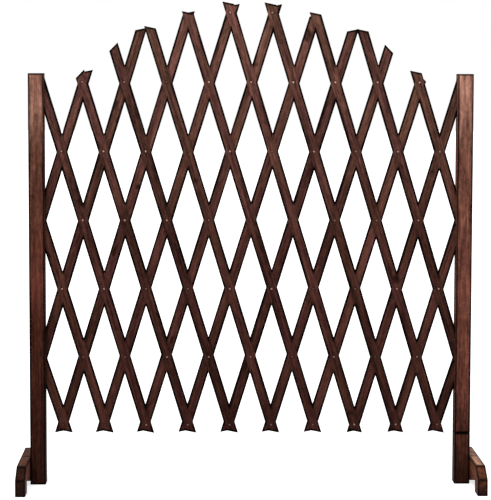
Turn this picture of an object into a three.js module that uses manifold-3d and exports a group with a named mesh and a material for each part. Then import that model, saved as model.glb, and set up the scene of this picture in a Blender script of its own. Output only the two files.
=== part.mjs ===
// Expandable wooden trellis: a riveted scissor lattice of crossed slats, held between two grooved
// posts that stand on plank feet. Millimetres, +Z up, the front faces -Y. The origin is on the ground,
// midway between the posts and halfway through their depth.
import * as THREE from 'three';
import { mergeVertices } from 'three/addons/utils/BufferGeometryUtils.js';
import Module from 'manifold-3d';

const wasm = await Module();
wasm.setup();

// Lattice. Rivets lie on a net of half columns and rows; a place on it holds a rivet where column plus
// row is odd. A back slat leans to the right as it rises, and a front slat leans to the left.
const rivetPitch = 175;
const restAngle = THREE.MathUtils.degToRad(73.05);
const columns = 20;
const rows = 6;
const pivotRow = 3;
const topPostRow = 5;
const columnsPerSlat = 2;
const bottomRowHeight = 145;
const slatWidth = 26;
const slatThickness = 7;
const layerGap = 0.5;
const bottomTail = 18;
const postTail = 9.5;
const endCutAngle = THREE.MathUtils.degToRad(28.5);

// Arched top. The slats' tips lie on one arc, set by how far it passes above the rivets at the crown
// and above the shoulder column.
const archCrownRise = 26;
const archShoulderRise = 18;
const shoulderColumn = 2;
const steepFlankAngle = THREE.MathUtils.degToRad(30);

// The tips are cut by eye: how far each stands past the arc along its slat, from the first slat to the
// last. Slats that end in a post have none.
const frontTipOffsets = [0, 0, 0, 6, 0, -5, -4, 0, -3, -7, 0, 0];
const backTipOffsets = [1, 3, -4, -5, -4, -10, -10, -3, 0, 0, 0, 0];

// The slats are drilled by eye too: how far each slat's middle stands to the right of its rivets, at its
// lower and at its upper end. Ends that lie in a post keep within the greatest post drift.
const frontLowDrifts = [4, 2.5, 0, 1, 1, 0.5, 2, 0, -0.5, -2.5, -2, -0.5];
const frontHighDrifts = [-0.5, 0.5, 1, 0.5, -0.5, 0, 0, 2.5, 1.5, 1.5, 1.5, -1];
const backLowDrifts = [0.5, 1.5, -0.5, -2.5, -4, -3.5, -3, -3, -2, 1.5, 0, -3];
const backHighDrifts = [3, 1.5, 2.5, 3.5, 4, 4, 4, 3.5, 2.5, 0, 0.5, 1];
const greatestPostDrift = 2;

// Rivets. Each is clinched in its front slat and turns in a hole in the back slat.
const rivetShankRadius = 1.6;
const rivetHeadRadius = 2.6;
const rivetHeadHeight = 1.2;
const rivetSeatSink = 0.2;
const rivetEdge = 10;
const rivetSides = 8;
const runningGap = 0.3;
const domeFlatShare = 0.55;
const domeRimShare = 0.45;

// Posts, with a routed groove along the inner face that the slats' ends run in.
const postWidth = 38;
const postDepth = 44;
const postHeight = 1003;
const postInset = 10;
const grooveFloorHeight = 90;
const grooveEndClearance = 0.7;
const grooveSideClearance = 0.6;
const seatGap = 0.3;

// Butt joint low on the right post, with two dowels in the wood behind the groove.
const jointHeight = 126.5;
const dowelRadius = 3;
const dowelHalfLength = 18;
const dowelInset = 5;
const dowelSides = 12;

// Pivot pins, driven in from the back and blind in the front wall of each post's groove.
const pinRadius = 2.5;
const pinBlindDepth = 7;
const pinRecess = 0.5;
const pinSides = 12;

// Feet: planks on edge, each in a front and a rear half that butt together under the post's middle
// and are screwed to its outer face.
const footLength = 346;
const footHeight = 65.5;
const footThickness = 24;
const footTopLength = 250;
const footShoulderHeight = 40;
const footPadLength = 55;
const notchHeight = 28;
const notchMiddleHeight = 5;
const footJointBevel = 2;

// Countersunk foot screws.
const screwLength = 40;
const screwShankRadius = 2.2;
const screwHeadRadius = 4.5;
const screwHeadHeight = 3.2;
const screwPointLength = 5;
const screwHeadRecess = 0.4;
const screwSides = 12;
const lowerScrewHeight = 23;
const upperScrewHeight = 48;
const screwOffset = 11;

// One overrun serves every cut that passes right through.
const overrun = 2;

// What follows from the sizes above
const halfColumn = rivetPitch * Math.cos(restAngle);
const rowPitch = rivetPitch * Math.sin(restAngle);
const pinLine = (columns / 2) * halfColumn;
const postInnerFace = pinLine - postInset;
const postOuterFace = postInnerFace + postWidth;
const layerCentre = (layerGap + slatThickness) / 2;
const slatStackHalf = layerGap / 2 + slatThickness;
const grooveWidth = 2 * (slatStackHalf + runningGap + rivetHeadHeight + grooveSideClearance);
const slatEndReach = Math.hypot(postTail, slatWidth / 2 + greatestPostDrift);
const grooveDepth = postInset + slatEndReach + grooveEndClearance;
const crownHeight = rows * rowPitch + archCrownRise;
const shoulderHeight = topPostRow * rowPitch + archShoulderRise;
const shoulderReach = (columns / 2 - shoulderColumn) * halfColumn;
const archDrop = crownHeight - shoulderHeight;
const archRadius = (shoulderReach ** 2 + archDrop ** 2) / (2 * archDrop);
const footInnerFace = postOuterFace + seatGap;

// Materials
const finish = { roughness: 0.75, metalness: 0 };
const frontWood = new THREE.MeshStandardMaterial({ color: 0x5c3a30, ...finish });
const backWood = new THREE.MeshStandardMaterial({ color: 0x50322a, ...finish });
const postWood = new THREE.MeshStandardMaterial({ color: 0x63433a, ...finish });
const baseWood = new THREE.MeshStandardMaterial({ color: 0x3a2522, ...finish });
const footWood = new THREE.MeshStandardMaterial({ color: 0x6d4c40, ...finish });
const dowelWood = new THREE.MeshStandardMaterial({ color: 0xb08a60, ...finish });
const steel = new THREE.MeshStandardMaterial({ color: 0x9a948c, roughness: 0.4, metalness: 1 });

// A closed geometry as a solid for cutting and joining
function solid(geometry) {
  const bare = geometry.clone();
  bare.deleteAttribute('normal');
  bare.deleteAttribute('uv');
  const merged = mergeVertices(bare);
  const vertProperties = new Float32Array(merged.attributes.position.array);
  const triVerts = new Uint32Array(merged.index.array);
  return new wasm.Manifold(new wasm.Mesh({ numProp: 3, vertProperties, triVerts }));
}

// A solid back as a geometry
function geometryOf(body) {
  const mesh = body.getMesh();
  const geometry = new THREE.BufferGeometry();
  geometry.setAttribute('position', new THREE.BufferAttribute(mesh.vertProperties, 3));
  geometry.setIndex(new THREE.BufferAttribute(mesh.triVerts, 1));
  geometry.computeVertexNormals();
  return geometry;
}

// One geometry with others joined to it and cut from it
function shaped(geometry, joined, cut) {
  let body = solid(geometry);
  for (const piece of joined) {
    body = body.add(solid(piece));
  }
  for (const piece of cut) {
    body = body.subtract(solid(piece));
  }
  return geometryOf(body);
}

// A box between two corners
function boxBetween(low, high) {
  const size = new THREE.Vector3().subVectors(high, low);
  const middle = new THREE.Vector3().addVectors(low, high).multiplyScalar(0.5);
  const geometry = new THREE.BoxGeometry(size.x, size.y, size.z);
  geometry.translate(middle.x, middle.y, middle.z);
  return geometry;
}

// A round bar along Y from one depth to another
function barAlongY(radius, fromY, toY, sides) {
  const geometry = new THREE.CylinderGeometry(radius, radius, toY - fromY, sides);
  geometry.translate(0, (fromY + toY) / 2, 0);
  return geometry;
}

// A turned shape about the Y axis, from profile points of radius and height in rising order
function turned(points, sides) {
  const profile = points.map(([radius, height]) => new THREE.Vector2(radius, height));
  return new THREE.LatheGeometry(profile, sides);
}

// The distance along a slat's axis from a rivet on the bottom line to the arch over the lattice.
// The axis starts at x, z and rises at the rest angle, to the right for lean 1 and the left for -1.
function distanceToArch(x, z, lean) {
  const centreZ = crownHeight - archRadius;
  const along = lean * x * Math.cos(restAngle) + (z - centreZ) * Math.sin(restAngle);
  const offset = x ** 2 + (z - centreZ) ** 2 - archRadius ** 2;
  return -along + Math.sqrt(along ** 2 - offset);
}

// One slat's run: its lowest rivet place, its reach past that place, and how each end is cut.
// lean is 1 for a back slat and -1 for a front slat; foot is the half column at row 0, which may
// lie outside the posts. Its drifts are its middle's places to the right of its rivets.
function slatRun(lean, foot, tipOffset, lowDrift, highDrift) {
  const edge = lean > 0 ? 0 : columns;
  const firstRow = Math.max(0, lean * (edge - foot));
  const firstColumn = foot + lean * firstRow;
  const rowsToFarPost = lean > 0 ? columns - firstColumn : firstColumn;
  const x = (firstColumn - columns / 2) * halfColumn;
  const z = firstRow * rowPitch;
  const endsInPost = firstRow + rowsToFarPost <= topPostRow;
  const reach = endsInPost ? rowsToFarPost * rivetPitch : distanceToArch(x, z, lean) + tipOffset;
  const tipX = x + lean * reach * Math.cos(restAngle);
  const onSteepFlank = lean * tipX > archRadius * Math.sin(steepFlankAngle);
  return {
    lean,
    firstColumn,
    firstRow,
    x,
    z,
    startsInPost: firstRow > 0,
    endsInPost,
    reach,
    lowDrift,
    highDrift,
    startTilt: firstRow > 0 ? 0 : -lean * Math.tan(endCutAngle),
    endTilt: endsInPost ? 0 : (onSteepFlank ? lean : -lean) * Math.tan(endCutAngle),
  };
}

const slatsInLayer = (columns + topPostRow - 1) / columnsPerSlat;
const backRuns = [];
const frontRuns = [];
for (let index = 0; index < slatsInLayer; index += 1) {
  const foot = columnsPerSlat * index - pivotRow;
  const last = slatsInLayer - 1 - index;
  backRuns.push(slatRun(1, foot, backTipOffsets[index], backLowDrifts[index], backHighDrifts[index]));
  frontRuns.push(slatRun(-1, columns - foot, frontTipOffsets[last], frontLowDrifts[last], frontHighDrifts[last]));
}
frontRuns.reverse();

// The rivet places along a slat as steps of one pitch from its lowest place. A place near a tip needs
// wood beyond it.
function placesOn(run) {
  const places = [];
  const furthest = run.reach + (run.endsInPost ? postTail : -rivetEdge);
  for (let step = 0; step * rivetPitch <= furthest; step += 1) {
    const column = run.firstColumn + run.lean * step;
    places.push({ column, row: run.firstRow + step, along: step * rivetPitch });
  }
  return places;
}

const placeKey = (place) => `${place.column} ${place.row}`;
const frontPlaces = new Set(frontRuns.flatMap(placesOn).map(placeKey));
const backPlaces = new Set(backRuns.flatMap(placesOn).map(placeKey));

// What holds a place: a pivot pin at the pivot row in a post, a rivet where two slats cross, and
// nothing where one slat ends alone
function holdAt(place) {
  const inPost = place.column === 0 || place.column === columns;
  if (inPost && place.row === pivotRow) {
    return 'pin';
  }
  const crossed = frontPlaces.has(placeKey(place)) && backPlaces.has(placeKey(place));
  return crossed ? 'rivet' : 'none';
}

// A slat's plain board, along local X from its lowest place, with Z across it to the left and Y through
// it. Its middle drifts evenly from one end to the other.
function slatBoard(run) {
  const half = slatWidth / 2;
  const start = run.startsInPost ? -postTail : -bottomTail;
  const end = run.reach + (run.endsInPost ? postTail : 0);
  const slope = (run.highDrift - run.lowDrift) / run.reach;
  const startMiddle = -run.lowDrift - slope * start;
  const endMiddle = -run.lowDrift - slope * end;
  const outline = new THREE.Shape([
    new THREE.Vector2(start + run.startTilt * -half, startMiddle - half),
    new THREE.Vector2(end + run.endTilt * -half, endMiddle - half),
    new THREE.Vector2(end + run.endTilt * half, endMiddle + half),
    new THREE.Vector2(start + run.startTilt * half, startMiddle + half),
  ]);
  const board = new THREE.ExtrudeGeometry(outline, { depth: slatThickness, bevelEnabled: false });
  board.rotateX(Math.PI / 2);
  board.translate(0, slatThickness / 2, 0);
  return board;
}

// A rivet in the front slat's own depth: a domed head in front, the shank, and the clinched head
// behind the back slat
function rivet() {
  const front = -slatThickness / 2;
  const rear = slatThickness / 2 + layerGap + slatThickness + runningGap;
  const flat = rivetHeadRadius * domeFlatShare;
  const rim = rivetHeadHeight * domeRimShare;
  return turned([
    [0, front - rivetHeadHeight],
    [flat, front - rivetHeadHeight],
    [rivetHeadRadius, front - rim],
    [rivetHeadRadius, front + rivetSeatSink],
    [rivetShankRadius, front + rivetSeatSink],
    [rivetShankRadius, rear],
    [rivetHeadRadius, rear],
    [rivetHeadRadius, rear + rim],
    [flat, rear + rivetHeadHeight],
    [0, rear + rivetHeadHeight],
  ], rivetSides);
}

// A hole right through a slat
function slatHole(radius, along) {
  const hole = barAlongY(radius, -slatThickness / 2 - overrun, slatThickness / 2 + overrun, rivetSides);
  hole.translate(along, 0, 0);
  return hole;
}

function frontSlatGeometry(run) {
  const rivets = [];
  const holes = [];
  for (const place of placesOn(run)) {
    const hold = holdAt(place);
    if (hold === 'rivet') {
      rivets.push(rivet().translate(place.along, 0, 0));
    }
    if (hold === 'pin') {
      holes.push(slatHole(pinRadius + runningGap, place.along));
    }
  }
  return shaped(slatBoard(run), rivets, holes);
}

function backSlatGeometry(run) {
  const holes = [];
  for (const place of placesOn(run)) {
    const hold = holdAt(place);
    if (hold === 'rivet') {
      holes.push(slatHole(rivetShankRadius + runningGap, place.along));
    }
    if (hold === 'pin') {
      holes.push(slatHole(pinRadius + runningGap, place.along));
    }
  }
  return shaped(slatBoard(run), [], holes);
}

function placeSlat(mesh, run, depth) {
  const angle = run.lean > 0 ? restAngle : Math.PI - restAngle;
  mesh.position.set(run.x, depth, bottomRowHeight + run.z);
  mesh.rotation.y = -angle;
}

// The pivot pin's bore in a post: open at the back and blind in front
function pinBore() {
  const bore = barAlongY(
    pinRadius + seatGap,
    -grooveWidth / 2 - pinBlindDepth - seatGap,
    postDepth / 2 + overrun,
    pinSides,
  );
  bore.translate(pinLine, 0, bottomRowHeight + pivotRow * rowPitch);
  return bore;
}

function pivotPin() {
  const pin = barAlongY(pinRadius, -grooveWidth / 2 - pinBlindDepth, postDepth / 2 - pinRecess, pinSides);
  pin.translate(pinLine, 0, bottomRowHeight + pivotRow * rowPitch);
  return pin;
}

// A screw lying along X at a depth and a height, its point towards the centre line and its head in the
// foot's outer face. grow widens and lengthens it into its own hole.
function footScrew(depth, height, grow) {
  const headFace = footInnerFace + footThickness - screwHeadRecess;
  const screw = turned([
    [0, -screwLength - grow],
    [screwShankRadius + grow, -screwLength + screwPointLength],
    [screwShankRadius + grow, -screwHeadHeight - grow],
    [screwHeadRadius + grow, 0],
    [screwHeadRadius + grow, grow > 0 ? screwHeadRecess + overrun : screwHeadRecess / 2],
    [0, grow > 0 ? screwHeadRecess + overrun : screwHeadRecess / 2],
  ], screwSides);
  screw.rotateZ(-Math.PI / 2);
  screw.translate(headFace, depth, height);
  return screw;
}

// A dowel across the right post's joint, in front of or behind the post's middle
function jointDowel(side, grow) {
  const dowel = new THREE.CylinderGeometry(
    dowelRadius + grow,
    dowelRadius + grow,
    2 * (dowelHalfLength + grow),
    dowelSides,
  );
  dowel.rotateX(Math.PI / 2);
  dowel.translate(postOuterFace - dowelInset, side * (postDepth / 2 - dowelInset), jointHeight);
  return dowel;
}

// A length of post on the right-hand side, between two heights
function postLength(fromHeight, toHeight, cuts) {
  const stick = boxBetween(
    new THREE.Vector3(postInnerFace, -postDepth / 2, fromHeight),
    new THREE.Vector3(postOuterFace, postDepth / 2, toHeight),
  );
  const groove = boxBetween(
    new THREE.Vector3(postInnerFace - overrun, -grooveWidth / 2, grooveFloorHeight),
    new THREE.Vector3(postInnerFace + grooveDepth, grooveWidth / 2, postHeight + overrun),
  );
  return shaped(stick, [], [groove, ...cuts]);
}

// A foot half's side outline, from the joint to its end, with length along its X and height along its Y
function halfFootOutline() {
  const end = footLength / 2;
  const pad = end - footPadLength;
  const top = footTopLength / 2;
  const joint = seatGap / 2;
  return new THREE.Shape([
    new THREE.Vector2(joint, notchMiddleHeight),
    new THREE.Vector2(pad, notchHeight),
    new THREE.Vector2(pad, 0),
    new THREE.Vector2(end, 0),
    new THREE.Vector2(end, footShoulderHeight),
    new THREE.Vector2(top, footHeight),
    new THREE.Vector2(joint + footJointBevel, footHeight),
    new THREE.Vector2(joint, footHeight - footJointBevel),
  ]);
}

// The front half has side -1 and the rear half has side 1.
const footHalves = { front: -1, rear: 1 };
const screwHeights = { lower: lowerScrewHeight, upper: upperScrewHeight };

function halfScrewHoles(side) {
  return Object.values(screwHeights).map((height) => footScrew(side * screwOffset, height, seatGap));
}

const screwHoles = Object.values(footHalves).flatMap(halfScrewHoles);

function footHalfGeometry(side) {
  const plank = new THREE.ExtrudeGeometry(halfFootOutline(), { depth: footThickness, bevelEnabled: false });
  plank.rotateX(Math.PI / 2);
  plank.rotateZ(side * Math.PI / 2);
  plank.translate(side > 0 ? footInnerFace : footInnerFace + footThickness, 0, 0);
  return shaped(plank, [], halfScrewHoles(side));
}

// The same shape on the other side of the centre line, with its faces turned outwards again
function mirrored(geometry) {
  const copy = geometry.index ? geometry.toNonIndexed() : geometry.clone();
  const position = copy.attributes.position;
  const corner = new THREE.Vector3();
  const corners = [];
  for (let index = 0; index < position.count; index += 1) {
    corner.fromBufferAttribute(position, index);
    corners.push(new THREE.Vector3(-corner.x, corner.y, corner.z));
  }
  for (let index = 0; index < corners.length; index += 3) {
    const swap = corners[index + 1];
    corners[index + 1] = corners[index + 2];
    corners[index + 2] = swap;
  }
  const turnedRound = new THREE.BufferGeometry().setFromPoints(corners);
  turnedRound.computeVertexNormals();
  return turnedRound;
}

const trellis = new THREE.Group();

function addMesh(name, geometry, material) {
  const mesh = new THREE.Mesh(geometry, material);
  mesh.name = name;
  trellis.add(mesh);
  return mesh;
}

const twoDigits = (number) => String(number).padStart(2, '0');
frontRuns.forEach((run, index) => {
  const mesh = addMesh(`front_slat_${twoDigits(index + 1)}`, frontSlatGeometry(run), frontWood);
  placeSlat(mesh, run, -layerCentre);
});
backRuns.forEach((run, index) => {
  const mesh = addMesh(`back_slat_${twoDigits(index + 1)}`, backSlatGeometry(run), backWood);
  placeSlat(mesh, run, layerCentre);
});

const dowelHoles = [jointDowel(-1, seatGap), jointDowel(1, seatGap)];
addMesh('left_post', mirrored(postLength(0, postHeight, [pinBore(), ...screwHoles])), postWood);
addMesh('right_post', postLength(jointHeight + seatGap / 2, postHeight, [pinBore(), ...dowelHoles]), postWood);
addMesh('right_post_base', postLength(0, jointHeight - seatGap / 2, [...screwHoles, ...dowelHoles]), baseWood);
addMesh('joint_dowel_front', jointDowel(-1, 0), dowelWood);
addMesh('joint_dowel_rear', jointDowel(1, 0), dowelWood);
addMesh('left_pivot_pin', mirrored(pivotPin()), steel);
addMesh('right_pivot_pin', pivotPin(), steel);
for (const [half, side] of Object.entries(footHalves)) {
  addMesh(`left_foot_${half}`, mirrored(footHalfGeometry(side)), footWood);
  addMesh(`right_foot_${half}`, footHalfGeometry(side), footWood);
  for (const [place, height] of Object.entries(screwHeights)) {
    const screw = footScrew(side * screwOffset, height, 0);
    addMesh(`left_foot_screw_${half}_${place}`, mirrored(screw), steel);
    addMesh(`right_foot_screw_${half}_${place}`, screw, steel);
  }
}

export default trellis;
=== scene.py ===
"""Expandable wooden trellis: the finished look of a riveted scissor lattice between two grooved posts.

Lengths are metres in the frame's own place: +Z is up and the front faces -Y. Every surface is worked
out in board space first: along the grain, across the board and through its depth.
"""

import math
from types import SimpleNamespace

import bpy
import numpy as np
from bpy.props import FloatProperty, FloatVectorProperty, PointerProperty
from bpy.types import Operator, Panel, PropertyGroup
from mathutils import Matrix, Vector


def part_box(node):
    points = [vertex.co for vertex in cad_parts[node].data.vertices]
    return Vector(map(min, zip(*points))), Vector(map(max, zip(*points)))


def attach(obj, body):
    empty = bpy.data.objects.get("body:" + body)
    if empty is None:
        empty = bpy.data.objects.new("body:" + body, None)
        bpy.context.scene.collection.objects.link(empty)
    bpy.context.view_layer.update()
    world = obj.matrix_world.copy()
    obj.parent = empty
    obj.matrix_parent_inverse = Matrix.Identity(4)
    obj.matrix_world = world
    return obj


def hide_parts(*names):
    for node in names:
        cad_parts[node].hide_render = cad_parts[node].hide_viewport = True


bl_info = {
    "name": "Expandable wooden trellis",
    "version": (1, 0, 0),
    "blender": (4, 5, 0),
    "location": "3D View > Sidebar > Trellis",
    "description": "Builds the slats, rivets, posts, feet and fastenings of an expandable trellis",
    "category": "Object",
}

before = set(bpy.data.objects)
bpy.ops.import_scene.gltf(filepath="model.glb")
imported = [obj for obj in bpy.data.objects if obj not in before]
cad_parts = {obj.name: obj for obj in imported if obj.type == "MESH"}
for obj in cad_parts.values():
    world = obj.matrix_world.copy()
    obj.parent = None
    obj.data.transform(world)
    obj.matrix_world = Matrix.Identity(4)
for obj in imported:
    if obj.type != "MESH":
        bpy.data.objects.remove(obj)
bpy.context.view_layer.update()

# The lattice as the frame has it: rivets a pitch apart along each slat, and the slats' rise at rest
PITCH = 0.175
REST_ANGLE = math.radians(73.05)
RISE, REACH = math.sin(REST_ANGLE), math.cos(REST_ANGLE)
SIDES = ("left", "right")

SLACK = 0.00005  # corners of the frame's solids that are this near to each other are one
OVERRUN = 0.003  # how far a cutter stands out of the wood
WANDERS = (0.31, 0.23, 0.17)  # longest waves in a board's width, its depth and its arrises
SEEDS = {"slats": 41, "rivets": 77, "posts": 58, "feet": 23}


def shade(hex_code):
    """A display colour written as 0xRRGGBB, as the linear numbers that shaders take."""
    parts = np.array([(hex_code >> 16) & 255, (hex_code >> 8) & 255, hex_code & 255]) / 255
    low = parts / 12.92
    high = ((parts + 0.055) / 1.055) ** 2.4
    return tuple(float(part) for part in np.where(parts <= 0.04045, low, high))


def length(name, description, default):
    return FloatProperty(name=name, description=description, default=default, min=0.0, precision=5, unit="LENGTH")


def place(name, description, default):
    return FloatProperty(name=name, description=description, default=default, unit="LENGTH")


def angle(name, description, degrees):
    return FloatProperty(name=name, description=description, default=math.radians(degrees), subtype="ANGLE")


def share(name, description, default, top=1.0):
    return FloatProperty(name=name, description=description, default=default, min=0.0, max=top, subtype="FACTOR")


def tones(name, description, *values):
    return FloatVectorProperty(name=name, description=description, default=values, size=len(values))


def colour(name, description, hex_code):
    return FloatVectorProperty(
        name=name, description=description, default=shade(hex_code), size=3, min=0.0, max=1.0, subtype="COLOR"
    )


# Surfaces


def carried(rings):
    """A closed skin over rings of equal count, given as an array of ring, point, place.

    Point j of ring i joins point j + 1 and the same two points of ring i + 1. Rings run anticlockwise
    seen from where they are heading, so the faces point outwards; the first and last ring are filled.
    """
    count, around = rings.shape[:2]
    ring, point = np.meshgrid(np.arange(count - 1), np.arange(around), indexing="ij")
    after = (point + 1) % around
    quads = np.stack([ring * around + point, ring * around + after,
                      (ring + 1) * around + after, (ring + 1) * around + point], axis=-1)
    faces = quads.reshape(-1, 4).tolist()
    faces.append(list(range(around - 1, -1, -1)))
    faces.append(list(range((count - 1) * around, count * around)))
    return rings.reshape(-1, 3), faces


def joined(parts):
    """Several skins as one: the points are laid end to end and each face's numbers move up to match."""
    points, faces, offset = [], [], 0
    for some_points, some_faces in parts:
        points.append(some_points)
        faces.extend([[number + offset for number in face] for face in some_faces])
        offset += len(some_points)
    return np.concatenate(points), faces


def laid(skin, axis, centre, way=1):
    """A skin worked out along its own axis and the two across it, laid in the frame about a centre.

    On X (a, b, c) becomes (way a, way b, c), on Y (c, a, b) and on Z (b, c, a). Each keeps the turning
    sense, so faces that point outwards go on doing so.
    """
    points, faces = skin
    a, b, c = points.T
    places = {"X": (way * a, way * b, c), "Y": (c, a, b), "Z": (b, c, a)}[axis]
    return np.stack(places, axis=-1) + np.asarray(centre), faces


def section_ring(across_steps, depth_steps, arc_steps):
    """The ring round a rounded rectangle, as anchors and directions.

    A point is its anchor times (half size - arris) plus its direction times the arris. Anchors sit on
    a square's sides and corners; directions turn through each corner's quarter circle.
    """
    corners = np.array([(1, -1), (1, 1), (-1, 1), (-1, -1)], float)
    steps = (depth_steps, across_steps, depth_steps, across_steps)
    anchors, directions = [], []
    for number, corner in enumerate(corners):
        turn = np.radians(-90 + 90 * number + np.linspace(0, 90, arc_steps + 1))
        anchors.append(np.repeat(corner[None], arc_steps + 1, axis=0))
        directions.append(np.stack([np.cos(turn), np.sin(turn)], axis=1))
        between = np.linspace(0, 1, steps[number] + 1)[1:-1, None]
        following = corners[(number + 1) % 4]
        anchors.append(corner + (following - corner) * between)
        directions.append(np.repeat(directions[-1][-1:], len(between), axis=0))
    return np.concatenate(anchors), np.concatenate(directions)


def waver(places, rng, longest):
    """A smooth wander between 0 and 1: three sine waves of falling length with random starts."""
    total = np.zeros_like(places)
    for weight, shorter in ((0.5, 1.0), (0.3, 2.7), (0.2, 6.1)):
        wave = longest / shorter * rng.uniform(0.8, 1.2)
        total += weight * (0.5 + 0.5 * np.sin(2 * math.pi * (places / wave + rng.uniform())))
    return total


def eased_stations(size, ease, spacing, ease_steps=3):
    """Stations along a board and how far its section draws in at each.

    At both ends a quarter circle of the ease's radius rounds the arris; even steps lie between.
    """
    turn = np.linspace(0, math.pi / 2, ease_steps + 1)
    offset, inset = ease * (1 - np.cos(turn)), ease * (1 - np.sin(turn))
    middle = np.linspace(ease, size - ease, max(3, int(round(size / spacing)) + 1))[1:-1]
    stations = np.concatenate([offset, middle, size - offset[::-1]])
    insets = np.concatenate([inset, np.zeros(len(middle)), inset[::-1]])
    return stations, insets


def board_rings(halves, arris, stations, insets, rng, play, steps):
    """Rings of a board in board space, from its section's two half sizes and its stations.

    The half sizes draw in by the inset and by a slow wander of at most play, and the arris wanders
    from three to five quarters of its size, as hand-sanded edges do.
    """
    anchors, directions = section_ring(*steps)
    wide, deep, edge = (waver(stations, rng, longest) for longest in WANDERS)
    across = halves[0] - insets - play * wide
    depth = halves[1] - insets - 0.5 * play * deep
    radius = np.maximum(arris * (0.75 + 0.5 * edge) - 0.5 * insets, 0.1 * arris)
    half = np.stack([across, depth], axis=1)[:, None, :]
    rings = np.empty((len(stations), len(anchors), 3))
    rings[:, :, 0] = stations[:, None]
    rings[:, :, 1:] = anchors[None] * (half - radius[:, None, None]) + directions[None] * radius[:, None, None]
    return rings


def turned_rings(radii, heights, around):
    """Rings of a turned shape: at each height a circle of that radius."""
    turn = np.linspace(0, 2 * math.pi, around, endpoint=False)
    radii, heights = np.asarray(radii, float)[:, None], np.asarray(heights, float)[:, None]
    return np.stack([heights + 0 * turn, radii * np.cos(turn), radii * np.sin(turn)], axis=-1)


def rod(radius, low, high, around, chamfer=0.0):
    """A round bar, with chamfered ends if it has a chamfer, its skin as rings of one or two radii."""
    radii = [radius - chamfer, radius, radius, radius - chamfer] if chamfer else [radius, radius]
    heights = [low, low + chamfer, high - chamfer, high] if chamfer else [low, high]
    return carried(turned_rings(radii, heights, around))


# Objects


def where(name):
    """Where the frame has a piece that is all on one side: its corners, its middle and half sizes, its
    way from the trellis's middle (1 right, -1 left) with the stand there, and its near and far reach."""
    low, high = (np.array(corner, float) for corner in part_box(name))
    way = 1 if low[0] > 0 else -1
    near, far = (low[0], high[0]) if way > 0 else (-high[0], -low[0])
    return SimpleNamespace(low=low, high=high, centre=(low + high) / 2, half=(high - low) / 2, way=way,
                           stand="right_stand" if way > 0 else "left_stand", near=near, far=far)


def new_object(name, skin):
    """A mesh object at the origin from points and faces."""
    points, faces = skin
    mesh = bpy.data.meshes.new(name)
    mesh.from_pydata(points.tolist(), [], faces)
    mesh.validate()
    piece = bpy.data.objects.new(name, mesh)
    bpy.context.scene.collection.objects.link(piece)
    return piece


def cut(piece, skins):
    """Takes closed skins away from a piece and keeps the result as its mesh."""
    cutter = new_object("cutter", joined(skins))
    modifier = piece.modifiers.new("cut", "BOOLEAN")
    modifier.operation = "DIFFERENCE"
    modifier.solver = "MANIFOLD"
    modifier.object = cutter
    settled = piece.evaluated_get(bpy.context.evaluated_depsgraph_get())
    result = bpy.data.meshes.new_from_object(settled)
    piece.modifiers.clear()
    before = piece.data
    if not result.polygons:
        raise RuntimeError(f"cutting {piece.name} left nothing")
    piece.data = result
    bpy.data.meshes.remove(before)
    result.name = piece.name
    bpy.data.objects.remove(cutter)


def points_of(piece):
    """The points of a piece's mesh, or of a node's, as an array."""
    points = np.empty(len(piece.data.vertices) * 3, np.float32)
    piece.data.vertices.foreach_get("co", points)
    return points.reshape(-1, 3).astype(float)


def mark(piece, name, values):
    """Stores a number or a vector for each point of a piece, for its material to read."""
    values = np.asarray(values, np.float32)
    kind, field = ("FLOAT_VECTOR", "vector") if values.ndim == 2 else ("FLOAT", "value")
    attribute = piece.data.attributes.new(name, kind, "POINT")
    attribute.data.foreach_set(field, values.ravel())


def mark_wood(piece, grain, halves, ends, seed, tone, pith=0.0, drift=0.0):
    """Board space for the wood's pattern: places along, across and through the board, how far each
    point is from the nearest end, the board's own half sizes with how far its middle is from its
    rivets, and what sets it apart from the rest: its own place in the pattern, its tone, and how far to
    its side the tree's pith lay."""
    sizes = np.empty((len(grain), 3))
    sizes[:, :2], sizes[:, 2] = halves, drift
    mark(piece, "grain", grain)
    mark(piece, "end", ends)
    mark(piece, "halves", sizes)
    mark(piece, "own", np.tile((seed, tone, pith), (len(grain), 1)))


def finish_piece(piece, body, material, node, sharp=35):
    """Shades a piece smooth up to an angle, gives it its material and ties it to the frame."""
    piece.data.shade_smooth()
    piece.data.set_sharp_from_angle(angle=math.radians(sharp))
    piece.data.materials.clear()
    piece.data.materials.append(material)
    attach(piece, body)
    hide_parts(node)


# Slats

SLAT_STEPS = (6, 2, 3)  # across the board, through its depth and round each arris
PITH_ASIDE = 0.045  # furthest that the tree's pith lay to a slat's side


def slat_names(layer):
    """The names of the front or the back slats, from the left."""
    return sorted(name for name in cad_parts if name.startswith(layer + "_slat"))


def lean_of(name):
    """1 for the back slats, which lean right as they rise, and -1 for the front ones."""
    return 1 if name.startswith("back") else -1


def along_and_across(name, x, z):
    """Place on a slat's own face: along it from the ground up, and across it."""
    lean = lean_of(name)
    return lean * x * REACH + z * RISE, x * RISE - lean * z * REACH


def slat_place(name, along, across):
    """The x and z of a place on a slat's face, the other way round from along_and_across."""
    lean = lean_of(name)
    return lean * REACH * along + RISE * across, RISE * along - lean * REACH * across


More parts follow.
